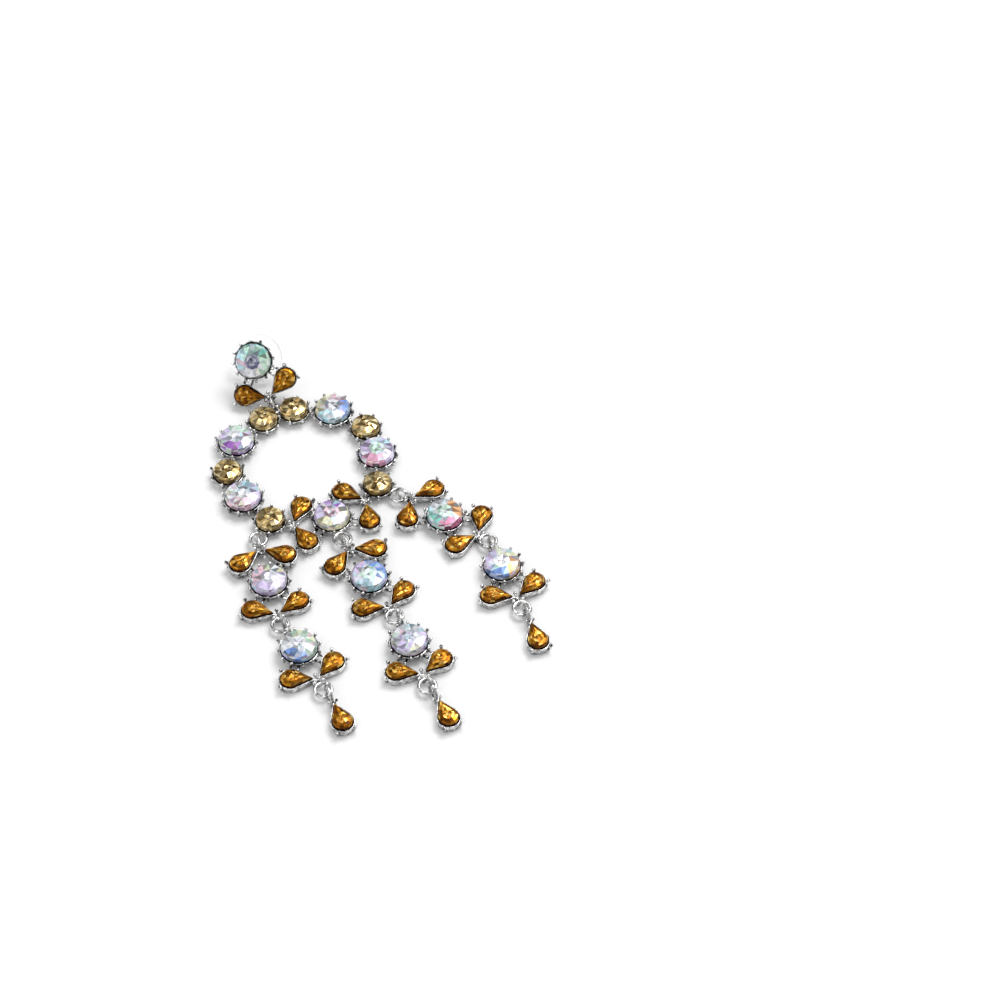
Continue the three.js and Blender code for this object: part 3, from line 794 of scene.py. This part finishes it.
def build_hoop(whole):
    mesh = bmesh.new()
    centres = []
    for name, stone, turn, reach in HOOP_STONES:
        angle = math.radians(turn)
        centre = Vector((math.sin(angle) * reach, math.cos(angle) * reach, 0))
        centres.append(centre)
        place = Matrix.Translation(centre)
        pronged_cup(mesh, stone, place, 90 - turn + 180 / stone["prongs"])
        add_round(f"hoop_{name}", stone, whole @ place, turn=8)
    target = centres[BOTTOM_STONE][:2]
    places = []
    for side in (-1, 1):
        heading = side * (math.pi / 2 + math.radians(FAN_LEAN))
        places += bow(mesh, side * FAN_STAR[0], FAN_STAR[1], heading, target)
    for x, y in (LEFT_LOOP, RIGHT_LOOP, MIDDLE_LOOP):
        flat_loop(mesh, x, y)
    flat_loop(mesh, *EYELET, EYELET_RADIUS, EYELET_WIRE)
    count = len(HOOP_STONES)
    for a in range(count):
        b = (a + 1) % count
        if BOTTOM_STONE in (a, b):
            continue
        along = (centres[b] - centres[a]).normalized()
        start = centres[a] + along * (HOOP_STONES[a][1]["radius"] - HOOP_BAR_BITE)
        end = centres[b] - along * (HOOP_STONES[b][1]["radius"] - HOOP_BAR_BITE)
        for height in HOOP_BAR_HEIGHTS:
            rod(mesh, start + Vector((0, 0, height)), end + Vector((0, 0, height)), HOOP_BAR_WIRE)
    for side in (-1, 1):
        beside = centres[BOTTOM_STONE - side]
        star = Vector((side * FAN_STAR[0], FAN_STAR[1], FAN_BAR_HEIGHT))
        along = (star - beside).normalized()
        rod(mesh, beside + along * FAN_BAR_START + Vector((0, 0, FAN_BAR_HEIGHT)), star, FAN_BAR_WIRE)
    add_casting("hoop_frame", mesh, whole)
    add_pears("hoop_pear", places, whole)


# Where each group lies, from the same rules as the solids

def table_shift():
    """The hoop's middle in the part's frame, read from where its bottom stone lies."""
    low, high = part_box("hoop_crystal_3")
    reach = HOOP_STONES[BOTTOM_STONE][3]
    return Vector(((low[0] + high[0]) / 2 / MM, (low[1] + high[1]) / 2 / MM + reach, 0))


def stud_place(shift):
    """The stud turned about its star, at the height where its solid stone lies."""
    turn = (
        Matrix.Rotation(STUD_SWING, 4, "Z")
        @ Matrix.Rotation(STUD_PITCH, 4, "X")
        @ Matrix.Rotation(STUD_ROLL, 4, "Y")
    )
    star = turn @ Vector((0, -BOW_REACH, STAR_HEIGHT))
    points = ring(circle(CRYSTAL["radius"], 12, math.pi / 2), CRYSTAL["low"])
    points.append(Vector((0, 0, CUP_FLOOR + SEAT_GAP * 1.5)))
    lowest = min((turn @ point).z for point in points)
    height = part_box("stud_crystal")[0][2] / MM - lowest
    return Matrix.Translation(shift + Vector((STUD_STAR[0] - star.x, STUD_STAR[1] - star.y, height))) @ turn


# Each kind of link: how far its origin hangs below the loop above, and how far from its origin
# its own flat loop, its lower edge and its upright loop are
LINKS = {
    "full": dict(
        build=build_full,
        hang=FULL_HANG,
        flat_loop=BOW_REACH + FULL_FLAT_LOOP,
        lower_edge=BOW_REACH + STAR_RADIUS,
        upright_loop=BOW_REACH + FULL_UPRIGHT_LOOP,
    ),
    "half": dict(
        build=build_half,
        hang=HALF_HANG,
        flat_loop=BOW_REACH + HALF_FLAT_LOOP,
        lower_edge=BOW_REACH + STAR_RADIUS,
        upright_loop=HALF_UPRIGHT_LOOP,
    ),
    "drop": dict(
        build=build_drop,
        hang=DROP_HANG,
        flat_loop=0,
        lower_edge=PEAR_RADIUS + PEAR_WALL - PEAR_TAPER,
        upright_loop=DROP_UPRIGHT_LOOP,
    ),
}


def build_strand(name, strand, shift):
    """Hangs a strand's three links in each other; each lies on its lower edge and its upright loop."""
    loop = Vector((*strand["loop"], 0))
    for kind, link in LINKS.items():
        degrees, sideways, slack = strand[kind]
        turn = math.radians(degrees)
        up = Vector((-math.sin(turn), math.cos(turn), 0))
        right = Vector((math.cos(turn), math.sin(turn), 0))
        place = loop - up * (link["hang"] + slack) + right * sideways
        drop = UPRIGHT_LOOP_RADIUS + LOOP_WIRE - LOOP_HEIGHT
        tilt = math.atan(drop / (link["upright_loop"] + link["lower_edge"]))
        lift = Vector((0, 0, link["lower_edge"] * math.sin(tilt)))
        lie = Matrix.Rotation(turn, 4, "Z") @ Matrix.Rotation(tilt, 4, "X")
        link["build"](name, Matrix.Translation(shift + place + lift) @ lie)
        loop = place - up * link["flat_loop"]


# Table, light and camera

def build_floor():
    mesh = bmesh.new()
    bmesh.ops.create_grid(mesh, x_segments=1, y_segments=1, size=FLOOR_REACH)
    data = bpy.data.meshes.new("table_top")
    mesh.to_mesh(data)
    mesh.free()
    floor = bpy.data.objects.new("table_top", data)
    floor.location.z = -FLOOR_DROP
    bpy.context.scene.collection.objects.link(floor)
    material, nodes, links, shader = new_material("white_table")
    shader.inputs["Base Color"].default_value = (0.97, 0.97, 0.97, 1)
    shader.inputs["Roughness"].default_value = 0.9
    shader.inputs["Specular IOR Level"].default_value = 0.1
    data.materials.append(material)


def build_world():
    """Even white light on the table; bright and dark patches for what metal and glass mirror."""
    world = bpy.data.worlds.new("studio")
    bpy.context.scene.world = world
    world.use_nodes = True
    nodes, links = world.node_tree.nodes, world.node_tree.links
    even = nodes["Background"]
    even.inputs["Color"].default_value = (1, 1, 1, 1)
    even.inputs["Strength"].default_value = EVEN_LIGHT
    noise = noise_patches(nodes, links, 7, 1.5, "Generated")
    colour = colour_ramp(nodes, links, noise, (0.44, (0.02, 0.02, 0.022)), (0.6, (1, 1, 1)))
    patches = nodes.new("ShaderNodeBackground")
    patches.inputs["Strength"].default_value = MIRRORED_LIGHT
    path = nodes.new("ShaderNodeLightPath")
    either = nodes.new("ShaderNodeMath")
    either.operation = "MAXIMUM"
    mix = nodes.new("ShaderNodeMixShader")
    links.new(colour, patches.inputs["Color"])
    links.new(path.outputs["Is Glossy Ray"], either.inputs[0])
    links.new(path.outputs["Is Transmission Ray"], either.inputs[1])
    links.new(either.outputs["Value"], mix.inputs["Fac"])
    links.new(even.outputs["Background"], mix.inputs[1])
    links.new(patches.outputs["Background"], mix.inputs[2])
    links.new(mix.outputs["Shader"], nodes["World Output"].inputs["Surface"])


def direction(azimuth, elevation):
    """Unit vector towards a viewer, in degrees: azimuth 0 is in front of the part, at -Y."""
    a, e = math.radians(azimuth), math.radians(elevation)
    return Vector((math.cos(e) * math.sin(a), -math.cos(e) * math.cos(a), math.sin(e)))


def add_light(name, target, azimuth, elevation, distance, size, power):
    light = bpy.data.lights.new(name, "AREA")
    light.shape = "RECTANGLE"
    light.size, light.size_y = size
    light.energy = power
    lamp = bpy.data.objects.new(name, light)
    away = direction(azimuth, elevation)
    lamp.location = target + away * distance
    lamp.rotation_euler = away.to_track_quat("Z", "Y").to_euler()
    bpy.context.scene.collection.objects.link(lamp)


def build_camera(target):
    data = bpy.data.cameras.new("camera")
    data.lens = CAMERA_LENS
    data.sensor_width = CAMERA_SENSOR
    data.clip_end = 10
    camera = bpy.data.objects.new("camera", data)
    away = direction(CAMERA_AZIMUTH, CAMERA_ELEVATION)
    camera.location = target + away * CAMERA_DISTANCE * MM
    camera.rotation_euler = away.to_track_quat("Z", "Y").to_euler()
    bpy.context.scene.collection.objects.link(camera)
    bpy.context.scene.camera = camera


shift = table_shift()
target = (shift + Vector(CAMERA_TARGET)) * MM
build_camera(target)
build_floor()
build_world()
add_light("softbox", target, **SOFTBOX)
add_light("fill_card", target, **FILL_CARD)
bpy.context.scene.view_settings.view_transform = "Standard"

build_hoop(Matrix.Translation(shift))
build_stud(stud_place(shift))
for strand_name, strand in STRANDS.items():
    build_strand(strand_name, strand, shift)
